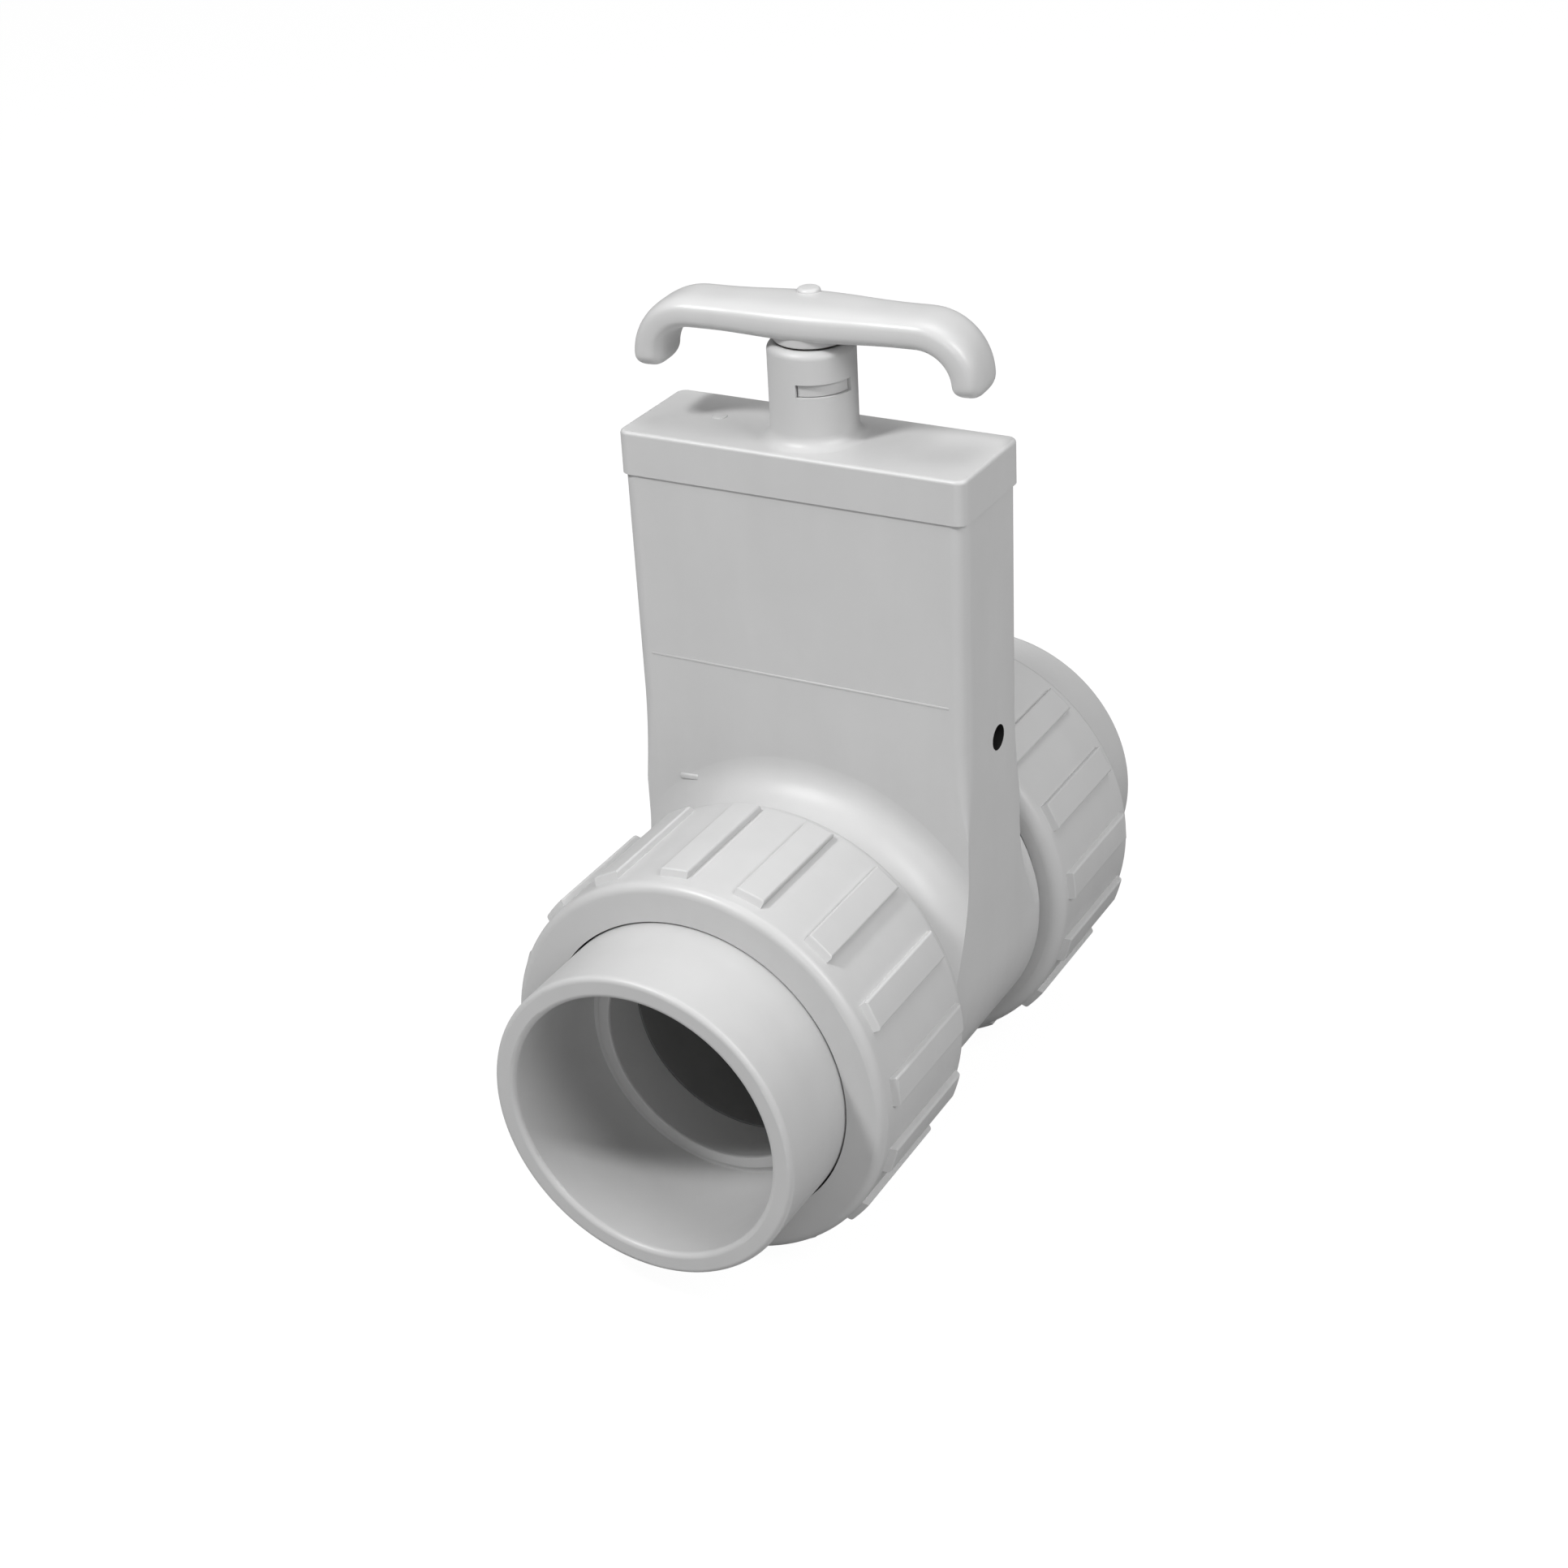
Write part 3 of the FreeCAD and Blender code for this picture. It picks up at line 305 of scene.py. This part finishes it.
def thread_ridge_tree():
    """A helical ridge of trapezoid section round the flow axis, with both ends running out."""
    tree = bpy.data.node_groups.new("union thread ridge", "GeometryNodeTree")
    face = tree.interface
    numbers = ("Core Radius", "Ridge Height", "Pitch", "Turns", "Crest Width", "Foot Width",
               "Start", "Outward", "Side", "Axis Height", "Run Out Turns", "Sink")
    for name in numbers:
        face.new_socket(name=name, in_out="INPUT", socket_type="NodeSocketFloat")
    face.new_socket(name="Steps", in_out="INPUT", socket_type="NodeSocketInt")
    face.new_socket(name="Finish", in_out="INPUT", socket_type="NodeSocketMaterial")
    face.new_socket(name="Geometry", in_out="OUTPUT", socket_type="NodeSocketGeometry")
    given = add_node(tree, "NodeGroupInput").outputs

    # A strip of unit size becomes the ridge: x runs along it, y round its section
    strip = add_node(tree, "GeometryNodeMeshGrid")
    strip.inputs["Size X"].default_value = 1.0
    strip.inputs["Size Y"].default_value = 1.0
    strip.inputs["Vertices Y"].default_value = 5
    tree.links.new(given["Steps"], strip.inputs["Vertices X"])
    split = add_node(tree, "ShaderNodeSeparateXYZ")
    tree.links.new(add_node(tree, "GeometryNodeInputPosition").outputs[0], split.inputs[0])
    along = math_node(tree, "ADD", split.outputs["X"], 0.5)

    # Left foot, left crest, right crest, right foot, and left foot again to close it
    around = math_node(tree, "MULTIPLY_ADD", split.outputs["Y"], 4.0, 2.0)
    left_crest = math_node(tree, "COMPARE", around, 1.0, 0.1)
    right_crest = math_node(tree, "COMPARE", around, 2.0, 0.1)
    right_foot = math_node(tree, "COMPARE", around, 3.0, 0.1)
    crest = math_node(tree, "ADD", left_crest, right_crest)
    right = math_node(tree, "ADD", right_crest, right_foot)
    side_sign = math_node(tree, "MULTIPLY_ADD", right, 2.0, -1.0)
    slimmer = math_node(tree, "SUBTRACT", given["Crest Width"], given["Foot Width"])
    width = math_node(tree, "MULTIPLY_ADD", crest, slimmer, given["Foot Width"])

    # Both ends run out over part of a turn
    from_end = math_node(tree, "MINIMUM", along, math_node(tree, "SUBTRACT", 1.0, along))
    turns_in = math_node(tree, "MULTIPLY", from_end, given["Turns"])
    fade = math_node(tree, "DIVIDE", turns_in, given["Run Out Turns"])
    full = math_node(tree, "MINIMUM", fade, 1.0)
    half_width = math_node(tree, "MULTIPLY", math_node(tree, "MULTIPLY", width, 0.5), full)
    across = math_node(tree, "MULTIPLY", half_width, side_sign)
    rise = math_node(tree, "ADD", given["Ridge Height"], given["Sink"])
    lift = math_node(tree, "MULTIPLY", math_node(tree, "MULTIPLY", rise, crest), full)
    height = math_node(tree, "SUBTRACT", lift, given["Sink"])

    # The strip is wound round the flow axis
    radius = math_node(tree, "MULTIPLY_ADD", height, given["Outward"], given["Core Radius"])
    turned = math_node(tree, "MULTIPLY", along, given["Turns"])
    angle = math_node(tree, "MULTIPLY", turned, 2.0 * math.pi)
    travel = math_node(tree, "MULTIPLY_ADD", turned, given["Pitch"], given["Start"])
    out = math_node(tree, "ADD", travel, across)
    sideways = math_node(tree, "MULTIPLY", radius, math_node(tree, "SINE", angle))
    upright = math_node(tree, "MULTIPLY", radius, math_node(tree, "COSINE", angle))
    spot = add_node(tree, "ShaderNodeCombineXYZ")
    tree.links.new(math_node(tree, "MULTIPLY", sideways, given["Side"]), spot.inputs["X"])
    tree.links.new(math_node(tree, "MULTIPLY", out, given["Side"]), spot.inputs["Y"])
    tree.links.new(math_node(tree, "ADD", upright, given["Axis Height"]), spot.inputs["Z"])
    place = add_node(tree, "GeometryNodeSetPosition")
    tree.links.new(strip.outputs["Mesh"], place.inputs["Geometry"])
    tree.links.new(spot.outputs[0], place.inputs["Position"])
    join = add_node(tree, "GeometryNodeMergeByDistance")
    join.inputs["Distance"].default_value = THREAD_WELD
    tree.links.new(place.outputs[0], join.inputs["Geometry"])
    real = add_node(tree, "GeometryNodeRealizeInstances")
    tree.links.new(join.outputs[0], real.inputs[0])
    paint = add_node(tree, "GeometryNodeSetMaterial")
    tree.links.new(real.outputs[0], paint.inputs["Geometry"])
    tree.links.new(given["Finish"], paint.inputs["Material"])
    end = add_node(tree, "NodeGroupOutput")
    tree.links.new(paint.outputs[0], end.inputs["Geometry"])
    return tree


def socket_names(tree):
    return {item.name: item.identifier for item in tree.interface.items_tree
            if item.item_type == "SOCKET" and item.in_out == "INPUT"}


def cut_thread(name, tree, side, body, slot, radius, outward, start):
    """One neck's or nut's thread as a plain mesh that rides on its body."""
    seed = bpy.data.objects.new(name + " seed", bpy.data.meshes.new(name + " seed"))
    bpy.context.scene.collection.objects.link(seed)
    ridge = seed.modifiers.new("thread", "NODES")
    ridge.node_group = tree
    sizes = {
        "Core Radius": radius, "Start": start, "Outward": outward, "Side": float(side),
        "Finish": finishes[slot], **THREAD_SIZES,
    }
    for socket, identifier in socket_names(tree).items():
        ridge[identifier] = sizes[socket]
    graph = bpy.context.evaluated_depsgraph_get()
    mesh = bpy.data.meshes.new_from_object(seed.evaluated_get(graph), depsgraph=graph)
    bpy.data.objects.remove(seed)
    shell = bmesh.new()
    shell.from_mesh(mesh)
    bmesh.ops.recalc_face_normals(shell, faces=shell.faces)
    shell.to_mesh(mesh)
    shell.free()
    mesh.name = name
    piece = bpy.data.objects.new(name, mesh)
    bpy.context.scene.collection.objects.link(piece)
    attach(piece, body)


ridge_tree = thread_ridge_tree()
for side, end in ((FRONT, "front"), (REAR, "rear")):
    cut_thread(end + "_neck_thread", ridge_tree, side, "housing", "housing_plastic",
               NECK_RADIUS, 1.0, NECK_THREAD_START)
    cut_thread(end + "_nut_thread", ridge_tree, side, end + "_nut", "nut_plastic",
               NUT_BORE, -1.0, NUT_THREAD_START)


# Plate corners: above the collars each upright corner passes gently from sharp to round
PLATE_HALF_WIDTH = 0.0391
PLATE_TAPER = 0.00065 / 0.1085
PLATE_ROUND = 0.0032
BLEND_LOW = 0.0345
BLEND_START = 0.0365
BLEND_TOP = 0.0600
BLEND_INSET = 0.000015
BLEND_LAP = 0.0002
BLEND_CORE = PLATE_ROUND - 0.0004
SHARPEST = 0.00002


def corner_radius(level):
    along = min(max((level - BLEND_START) / (BLEND_TOP - BLEND_START), 0.0), 1.0)
    return SHARPEST + (PLATE_ROUND - SHARPEST) * (1.0 - (1.0 - along) ** 2)


def corner_section(level, bends=12):
    """The sliver's section at a height above the flow axis, as (sideways, out) pairs."""
    wide = PLATE_HALF_WIDTH + PLATE_TAPER * level - BLEND_INSET
    deep = -PLATE_FRONT - BLEND_INSET
    radius = corner_radius(level)
    turns = [QUARTER_TURN * bend / bends for bend in range(bends + 1)]
    outer = [(wide - radius + radius * math.sin(turn), deep - radius + radius * math.cos(turn))
             for turn in turns]
    inner = [(wide - PLATE_ROUND + BLEND_CORE * math.cos(turn),
              deep - PLATE_ROUND + BLEND_CORE * math.sin(turn)) for turn in turns]
    front_lap = (wide - PLATE_ROUND - BLEND_LAP, deep)
    side_lap = (wide, deep - PLATE_ROUND - BLEND_LAP)
    return [front_lap, *outer, side_lap, *inner]


def corner_blends(levels=40):
    """Slivers of plastic that ease the collars' square shoulders into the plate's round corners."""
    shell = bmesh.new()
    heights = [BLEND_LOW + (BLEND_TOP - BLEND_LOW) * step / levels for step in range(levels + 1)]
    for across in (-1.0, 1.0):
        for front_back in (-1.0, 1.0):
            rings = [
                [shell.verts.new((across * sideways, front_back * out, FLOW_AXIS + level))
                 for sideways, out in corner_section(level)]
                for level in heights
            ]
            join_rings(shell, rings)
            close_ends(shell, rings)
    piece = smooth_piece("plate_corner_blends", shell, "housing_plastic", sharp_degrees=30.0)
    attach(piece, "housing")


corner_blends()


# Small marks that the mould leaves
MARK_SINK = 0.0001
TOWARDS_FRONT = Vector((0.0, -1.0, 0.0))
UPWARDS = Vector((0.0, 0.0, 1.0))
CAP_GATE = (-0.0235, 0.0015)
CAP_GATE_RADIUS = 0.0016


def raised_mark(name, corners, height, direction, soft, body="housing", slot="housing_plastic"):
    """A low pad with rounded edges on a flat face, given by its outline in the face."""
    pad = bmesh.new()
    low = [pad.verts.new(Vector(corner) - MARK_SINK * direction) for corner in corners]
    face = pad.faces.new(low)
    grown = bmesh.ops.extrude_face_region(pad, geom=[face])
    top = [item for item in grown["geom"] if isinstance(item, bmesh.types.BMVert)]
    bmesh.ops.translate(pad, verts=top, vec=(height + MARK_SINK) * direction)
    rim = [edge for edge in pad.edges if all(vertex in top for vertex in edge.verts)]
    bmesh.ops.bevel(pad, geom=rim, offset=soft, segments=4, profile=0.5, affect="EDGES")
    piece = smooth_piece(name, pad, slot)
    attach(piece, body)


def plate_outline(left, right, low, high, tilt=0.0):
    """Corners of a strip on the plate's front face, in heights above the flow axis."""
    return [
        (left, PLATE_FRONT, FLOW_AXIS + low), (right, PLATE_FRONT, FLOW_AXIS + low + tilt),
        (right, PLATE_FRONT, FLOW_AXIS + high + tilt), (left, PLATE_FRONT, FLOW_AXIS + high),
    ]


def cap_outline(centre, radius, steps=24):
    """Corners of a round pad on the cap's top."""
    turns = [math.tau * step / steps for step in range(steps)]
    return [(centre[0] + radius * math.cos(turn), centre[1] + radius * math.sin(turn), CAP_TOP)
            for turn in turns]


raised_mark("plate_witness_line", plate_outline(-0.0355, 0.0355, 0.0672, 0.0677),
            0.00012, TOWARDS_FRONT, 0.0001)
raised_mark("plate_gate_mark", plate_outline(-0.0306, -0.0262, 0.0377, 0.0390, tilt=0.0003),
            0.00035, TOWARDS_FRONT, 0.0003)
raised_mark("cap_gate_mark", cap_outline(CAP_GATE, CAP_GATE_RADIUS),
            0.00018, UPWARDS, 0.00014)


# Pull handle: the bar's section swells gently over the stem and rounds off at both tips
BAR_MIDDLE = FLOW_AXIS + 0.14365
BAR_STRAIGHT = 0.0249
BAR_TURN = 0.0103
BAR_REACH = BAR_STRAIGHT + BAR_TURN * QUARTER_TURN + 0.0027
BAR_DEPTH = 0.0145
BAR_THICKNESS = 0.0069
BAR_NARROWING = 0.14
SECTION_POWER = 3.1
SWELL_REACH = 0.021
SWELL_DEPTH = 0.0027
SWELL_THICKNESS = 0.0009
TIP_DOME = 0.0034
TIP_POWER = 2.4
TIP_FLAT = 0.00002
NUB_PLACE = (-0.0020, 0.0044)
NUB_RADIUS = 0.0025
NUB_HEIGHT = 0.0007
NUB_SINK = 0.0015
NUB_ROUND = 0.0008
HUB_BOTTOM = FLOW_AXIS + 0.1392
HUB_RADIUS = 0.0078
HUB_BORE = 0.00645
HUB_HEIGHT = 0.0020
HUB_ROUND = 0.0004
HANDLE_TURN = math.radians(4.4)


def bar_station(travel):
    """Middle and outward direction of the bar at a signed distance from the stem."""
    away, side = abs(travel), math.copysign(1.0, travel)
    bend = min(max((away - BAR_STRAIGHT) / BAR_TURN, 0.0), QUARTER_TURN)
    drop = max(away - BAR_STRAIGHT - BAR_TURN * QUARTER_TURN, 0.0)
    sideways = min(away, BAR_STRAIGHT) + BAR_TURN * math.sin(bend)
    height = BAR_MIDDLE - BAR_TURN * (1.0 - math.cos(bend)) - drop
    middle = Vector((side * sideways, 0.0, height))
    return middle, Vector((side * math.sin(bend), 0.0, math.cos(bend)))


def bar_size(travel):
    """Half the depth and half the thickness of the bar at a signed distance from the stem."""
    away = abs(travel)
    swell = math.cos(min(away / SWELL_REACH, 1.0) * QUARTER_TURN) ** 2
    past_straight = max(0.0, (away - BAR_STRAIGHT) / (BAR_REACH - BAR_STRAIGHT))
    narrow = 1.0 - BAR_NARROWING * past_straight ** 1.5
    into_tip = max(0.0, (away - BAR_REACH + TIP_DOME) / TIP_DOME)
    dome = max(0.0, 1.0 - into_tip ** TIP_POWER) ** (1.0 / TIP_POWER)
    depth = (BAR_DEPTH * narrow + SWELL_DEPTH * swell) * dome
    thickness = (BAR_THICKNESS + SWELL_THICKNESS * swell) * dome
    return depth / 2.0, thickness / 2.0


def section_curve(value):
    """Squares off a circle's sine or cosine towards the bar's flat section."""
    return math.copysign(abs(value) ** (2.0 / SECTION_POWER), value)


def bar_travels(straight_steps=60, dome_steps=12):
    """Signed distances from the stem, closer together on the tips."""
    reach = BAR_REACH - TIP_FLAT
    dome_start = reach - TIP_DOME
    half = [dome_start - dome_start * step / straight_steps for step in range(straight_steps + 1)]
    half += [reach - TIP_DOME * (1.0 - math.sin(QUARTER_TURN * step / dome_steps))
             for step in range(1, dome_steps + 1)]
    half = sorted(set(half))
    return [-away for away in reversed(half[1:])] + half


def add_bar(shell, around=48):
    rings = []
    for travel in bar_travels():
        middle, outward = bar_station(travel)
        depth, thickness = bar_size(travel)
        ring = []
        for step in range(around):
            turn = math.tau * step / around
            across = depth * section_curve(math.cos(turn))
            lift = thickness * section_curve(math.sin(turn))
            ring.append(shell.verts.new(middle + Vector((0.0, across, 0.0)) + lift * outward))
        rings.append(ring)
    join_rings(shell, rings)
    close_ends(shell, rings)


def pull_handle():
    """The bar, the small nub on top of it and the ring of the hub below it."""
    shell = bmesh.new()
    add_bar(shell)
    top = BAR_THICKNESS / 2.0 + SWELL_THICKNESS / 2.0
    nub = [(NUB_RADIUS, top - NUB_SINK)] + quarter(NUB_RADIUS, top + NUB_HEIGHT, NUB_ROUND)
    add_turned(shell, nub, Vector((*NUB_PLACE, BAR_MIDDLE)), steps=40)
    rim = [(radius, -height) for radius, height in quarter(HUB_RADIUS, 0.0, HUB_ROUND, steps=4)]
    hub = rim + [(HUB_BORE, 0.0), (HUB_BORE, HUB_HEIGHT), (HUB_RADIUS, HUB_HEIGHT)]
    add_turned(shell, hub, Vector((0.0, 0.0, HUB_BOTTOM)), closed=True)
    bmesh.ops.rotate(shell, verts=shell.verts, cent=(0.0, 0.0, 0.0),
                     matrix=Matrix.Rotation(HANDLE_TURN, 3, "Z"))
    piece = smooth_piece("pull_handle", shell, "handle_plastic", sharp_degrees=50.0)
    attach(piece, "gate")
    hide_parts("t_handle")


pull_handle()


# Pipe stops: the step in each socket carries a low rounded bead, with a fine gap round it
STOP_OUT = 0.0562
BEAD_INNER = 0.02625
BEAD_OUTER = 0.0289
BEAD_HEIGHT = 0.0006
BEAD_SINK = 0.0001
BEAD_ROUND = 0.0004


def stop_bead(side, end):
    crown = quarter(BEAD_OUTER, BEAD_HEIGHT, BEAD_ROUND, steps=5)
    inner_crown = [(BEAD_INNER + BEAD_OUTER - radius, height) for radius, height in crown]
    profile = [(BEAD_OUTER, -BEAD_SINK), *crown, *reversed(inner_crown), (BEAD_INNER, -BEAD_SINK)]
    shell = bmesh.new()
    add_turned(shell, profile, Vector((0.0, 0.0, 0.0)), steps=128, closed=True)
    lay_out = Matrix(((1.0, 0.0, 0.0), (0.0, 0.0, float(side)), (0.0, 1.0, 0.0)))
    bmesh.ops.transform(shell, verts=shell.verts, matrix=lay_out.to_4x4())
    bmesh.ops.translate(shell, verts=shell.verts, vec=(0.0, side * STOP_OUT, FLOW_AXIS))
    piece = smooth_piece(end + "_stop_bead", shell, "tail_plastic", sharp_degrees=50.0)
    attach(piece, end + "_tail")


stop_bead(FRONT, "front")
stop_bead(REAR, "rear")


# The photograph's view
EYE = Vector((0.2657728, -0.4869919, 0.3779457))
VIEW_RIGHT = Vector((0.880447, 0.471709, -0.047996))
VIEW_UP = Vector((-0.182353, 0.430315, 0.884068))
VIEW_AHEAD = Vector((-0.437676, 0.769623, -0.464887))
camera_data = bpy.data.cameras.new("photograph camera")
camera_data.sensor_width = 36.0
camera_data.lens = 65.5597
camera_data.shift_x = -0.001553
camera_data.shift_y = -0.011967
camera_data.clip_start = 0.01
camera_data.clip_end = 50.0
camera = bpy.data.objects.new("photograph camera", camera_data)
turn = Matrix((VIEW_RIGHT, VIEW_UP, -VIEW_AHEAD)).transposed()
camera.matrix_world = Matrix.Translation(EYE) @ turn.to_4x4()
bpy.context.scene.collection.objects.link(camera)
bpy.context.scene.camera = camera


# Lights, in watts
MIDDLE = (0.0, 0.0, 0.09)
SOCKET = (0.0, -0.05, 0.05)


def soft_lamp(name, place, target, width, power):
    data = bpy.data.lights.new(name, "AREA")
    data.shape = "RECTANGLE"
    data.size = width
    data.size_y = width
    data.energy = power
    lamp = bpy.data.objects.new(name, data)
    lamp.location = place
    lamp.rotation_euler = (Vector(target) - Vector(place)).to_track_quat("-Z", "Y").to_euler()
    bpy.context.scene.collection.objects.link(lamp)


soft_lamp("key softbox", (-0.36, -0.59, 0.97), MIDDLE, 0.16, 8.2)
soft_lamp("top softbox", (0.1, 0.25, 1.3), MIDDLE, 0.7, 4.6)
soft_lamp("right fill", (1.06, -0.26, 0.98), MIDDLE, 0.6, 9.9)
soft_lamp("camera fill", (0.45, -1.2, 0.55), SOCKET, 0.5, 2.5)


def studio_world(room_light=0.19):
    """Even room light, with a white backdrop wherever the camera looks past the floor."""
    world = bpy.data.worlds.new("studio")
    bpy.context.scene.world = world
    world.use_nodes = True
    sky = world.node_tree
    sky.nodes.clear()
    sky_out = add_node(sky, "ShaderNodeOutputWorld")
    seen = add_node(sky, "ShaderNodeLightPath").outputs["Is Camera Ray"]
    room = add_node(sky, "ShaderNodeBackground")
    room.inputs["Strength"].default_value = room_light
    backdrop = add_node(sky, "ShaderNodeBackground")
    backdrop.inputs["Color"].default_value = (1.0, 1.0, 1.0, 1.0)
    backdrop.inputs["Strength"].default_value = 1.0
    choose = add_node(sky, "ShaderNodeMixShader")
    sky.links.new(seen, choose.inputs[0])
    sky.links.new(room.outputs[0], choose.inputs[1])
    sky.links.new(backdrop.outputs[0], choose.inputs[2])
    sky.links.new(choose.outputs[0], sky_out.inputs["Surface"])


def pale_floor(tone=0.35, glow_strength=1.235, glow_share=0.78, reach=8.0):
    """White paper under the valve: it keeps a faint shadow and shows as white."""
    material, tree = new_material("white paper")
    paper = add_node(tree, "ShaderNodeBsdfDiffuse")
    paper.inputs["Color"].default_value = (*grey(tone), 1.0)
    glow = add_node(tree, "ShaderNodeEmission")
    glow.inputs["Strength"].default_value = glow_strength
    seen = add_node(tree, "ShaderNodeLightPath").outputs["Is Camera Ray"]
    mix = add_node(tree, "ShaderNodeMixShader")
    tree.links.new(math_node(tree, "MULTIPLY", seen, glow_share), mix.inputs[0])
    tree.links.new(paper.outputs[0], mix.inputs[1])
    tree.links.new(glow.outputs[0], mix.inputs[2])
    tree.links.new(mix.outputs[0], tree.nodes["Material Output"].inputs["Surface"])
    sheet = bmesh.new()
    bmesh.ops.create_grid(sheet, x_segments=1, y_segments=1, size=reach)
    mesh = bpy.data.meshes.new("floor")
    sheet.to_mesh(mesh)
    sheet.free()
    mesh.materials.append(material)
    floor = bpy.data.objects.new("floor", mesh)
    bpy.context.scene.collection.objects.link(floor)


studio_world()
pale_floor()

bpy.context.scene.view_settings.view_transform = "Standard"
